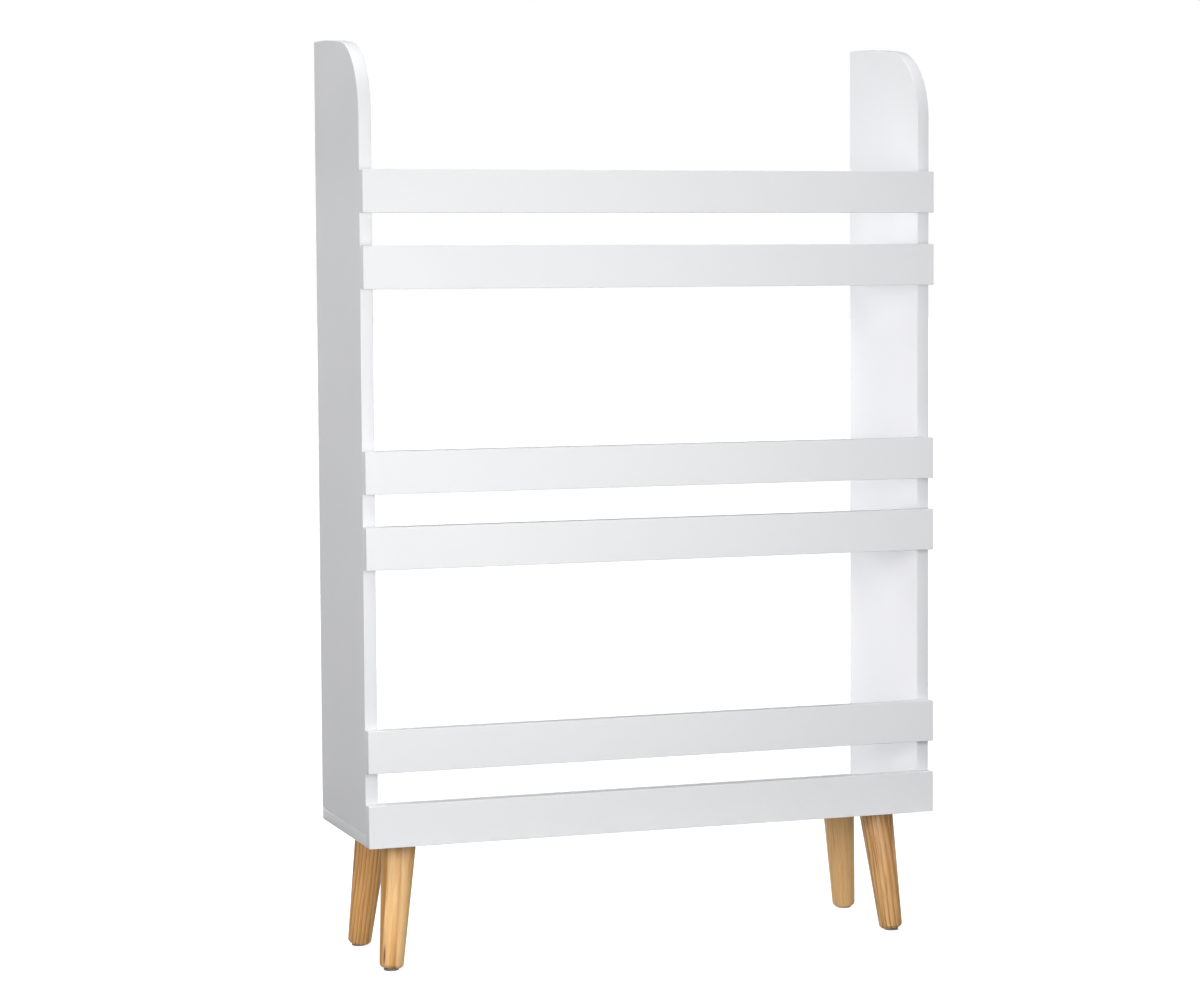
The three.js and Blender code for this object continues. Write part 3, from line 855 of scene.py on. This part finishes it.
# Name, place, target, size, power in watts, and what differs from a plain white softbox.
LIGHTS = (
    ("front_low", (-0.3, -1.2, 0.5), (-0.1, 0, 0.5), (0.5, 0.6), 3.9, {}),
    ("front_wide", (0.1, -2.0, 1.0), (0, 0, 0.6), (1.0, 1.0), 11.3, {}),
    ("front_left", (-2.2, -1.7, 0.95), (0, 0, 0.6), (0.8, 0.8), 22.0, {}),
    ("left_high", (-1.2, 0.3, 1.8), (-0.3, 0, 0.7), (0.8, 0.8), 5.6, {}),
    ("inside", (-0.3, 0.9, 0.5), (0.35, 0, 0.5), (0.3, 0.9), 6.5,
     {"colour": (0.985, 0.98, 1.0)}),
    ("overhead", (0, 0, 2.3), (0, 0, 0), (1.0, 1.0), 4.5, {}),
    ("right_fill", (2.0, 0.5, 1.1), (0.3, 0, 0.6), (0.8, 0.8), 8.0, {}),
    ("low_strip", (-0.4, -1.1, 0.07), (-0.05, 0, 0.06), (1.6, 0.06), 0.14, {"spread": 14}),
)

# The camera, fitted to the photograph: angles in radians, lengths in metres, lens in millimetres.
EYE = (-1.3030, -3.6396, 0.8304)
YAW, PITCH, ROLL = 0.33515, -0.06488, -0.00572
LENS, SENSOR_WIDTH, SHIFT_UP = 95.01, 36, -0.025


def make_floor():
    """A pale floor that runs out to white. The camera sees it; what it would throw up at the
    bookcase comes from the world's lower half instead, so that it is even."""
    n = Nodes("floor")
    away = n.add("ShaderNodeVectorMath", operation="LENGTH")
    n.wire(n.place(), away.inputs[0])
    glow = n.span(away.outputs["Value"], GLOW_NEAR, GLOW_FAR, GLOW_START, 1.0)
    tone = n.noise(n.place(), 0.7, 2)
    colour = n.mix(tone, srgb(0.60, 0.60, 0.60), srgb(0.62, 0.62, 0.62))
    n.shader.inputs["Emission Color"].default_value = (1, 1, 1, 1)
    n.shader.inputs["Specular IOR Level"].default_value = 0
    material = n.finish(Base_Color=colour, Roughness=0.9, Emission_Strength=glow)

    def build(bm):
        bm.faces.new([bm.verts.new((x * FLOOR_HALF, y * FLOOR_HALF, 0))
                      for x, y in ((-1, -1), (1, -1), (1, 1), (-1, 1))])

    floor = new_object("floor", mesh_from("floor", build))
    floor.data.materials.append(material)
    floor.visible_diffuse = False
    floor.visible_glossy = False


def softbox(name, place, target, size, power, colour=(1, 1, 1), spread=180):
    data = bpy.data.lights.new(name, "AREA")
    data.shape = "RECTANGLE"
    data.size, data.size_y = size
    data.energy = power
    data.color = colour
    data.spread = math.radians(spread)
    lamp = new_object(name, data)
    lamp.location = place
    lamp.rotation_euler = (Vector(target) - Vector(place)).to_track_quat("-Z", "Y").to_euler()
    lamp.visible_camera = False


def make_world():
    """White for the camera all round. The lower half gives the floor's bounce, the top the
    ceiling's."""
    world = bpy.data.worlds.new("studio")
    bpy.context.scene.world = world
    world.use_nodes = True
    tree = world.node_tree
    tree.nodes.clear()

    def add(kind, **settings):
        node = tree.nodes.new(kind)
        for name, value in settings.items():
            setattr(node, name, value)
        return node

    split = add("ShaderNodeSeparateXYZ")
    tree.links.new(add("ShaderNodeTexCoord").outputs["Generated"], split.inputs[0])

    def brightening(start, end, most, **settings):
        """Light that grows from nothing to its most between two heights."""
        node = add("ShaderNodeMapRange", **settings)
        tree.links.new(split.outputs["Z"], node.inputs["Value"])
        for name, value in (("From Min", start), ("From Max", end), ("To Min", 0.0),
                            ("To Max", most)):
            node.inputs[name].default_value = value
        return node

    below = brightening(HORIZON, -HORIZON, FLOOR_BOUNCE)
    above = brightening(*CEILING_EDGE, CEILING, interpolation_type="SMOOTHSTEP")
    both = add("ShaderNodeMath", operation="ADD")
    tree.links.new(below.outputs["Result"], both.inputs[0])
    tree.links.new(above.outputs["Result"], both.inputs[1])
    shown = add("ShaderNodeMix", data_type="FLOAT")
    tree.links.new(add("ShaderNodeLightPath").outputs["Is Camera Ray"], shown.inputs["Factor"])
    tree.links.new(both.outputs[0], shown.inputs[2])
    shown.inputs[3].default_value = 1.0
    background = add("ShaderNodeBackground")
    background.inputs["Color"].default_value = (1, 1, 1, 1)
    tree.links.new(shown.outputs[0], background.inputs["Strength"])
    output = add("ShaderNodeOutputWorld")
    tree.links.new(background.outputs[0], output.inputs["Surface"])


def make_lights():
    for name, place, target, size, power, differences in LIGHTS:
        softbox(name, place, target, size, power, **differences)


def make_camera():
    """The photograph's view: from the left of the front, with the eye at three quarters of the
    bookcase's height."""
    ahead = Vector((math.sin(YAW) * math.cos(PITCH), math.cos(YAW) * math.cos(PITCH),
                    math.sin(PITCH)))
    across = ahead.cross(Vector((0, 0, 1))).normalized()
    above = across.cross(ahead)
    right = across * math.cos(ROLL) + above * math.sin(ROLL)
    up = above * math.cos(ROLL) - across * math.sin(ROLL)
    data = bpy.data.cameras.new("camera")
    data.lens = LENS
    data.sensor_width = SENSOR_WIDTH
    data.shift_y = SHIFT_UP
    data.clip_end = 200
    camera = new_object("camera", data)
    turn = Matrix((right, up, -ahead)).transposed().to_4x4()
    camera.matrix_world = Matrix.Translation(EYE) @ turn
    bpy.context.scene.camera = camera
    bpy.context.scene.view_settings.view_transform = "Standard"


make_boards()
make_fittings()
make_legs()
finish_hidden_nodes()
make_floor()
make_world()
make_lights()
make_camera()
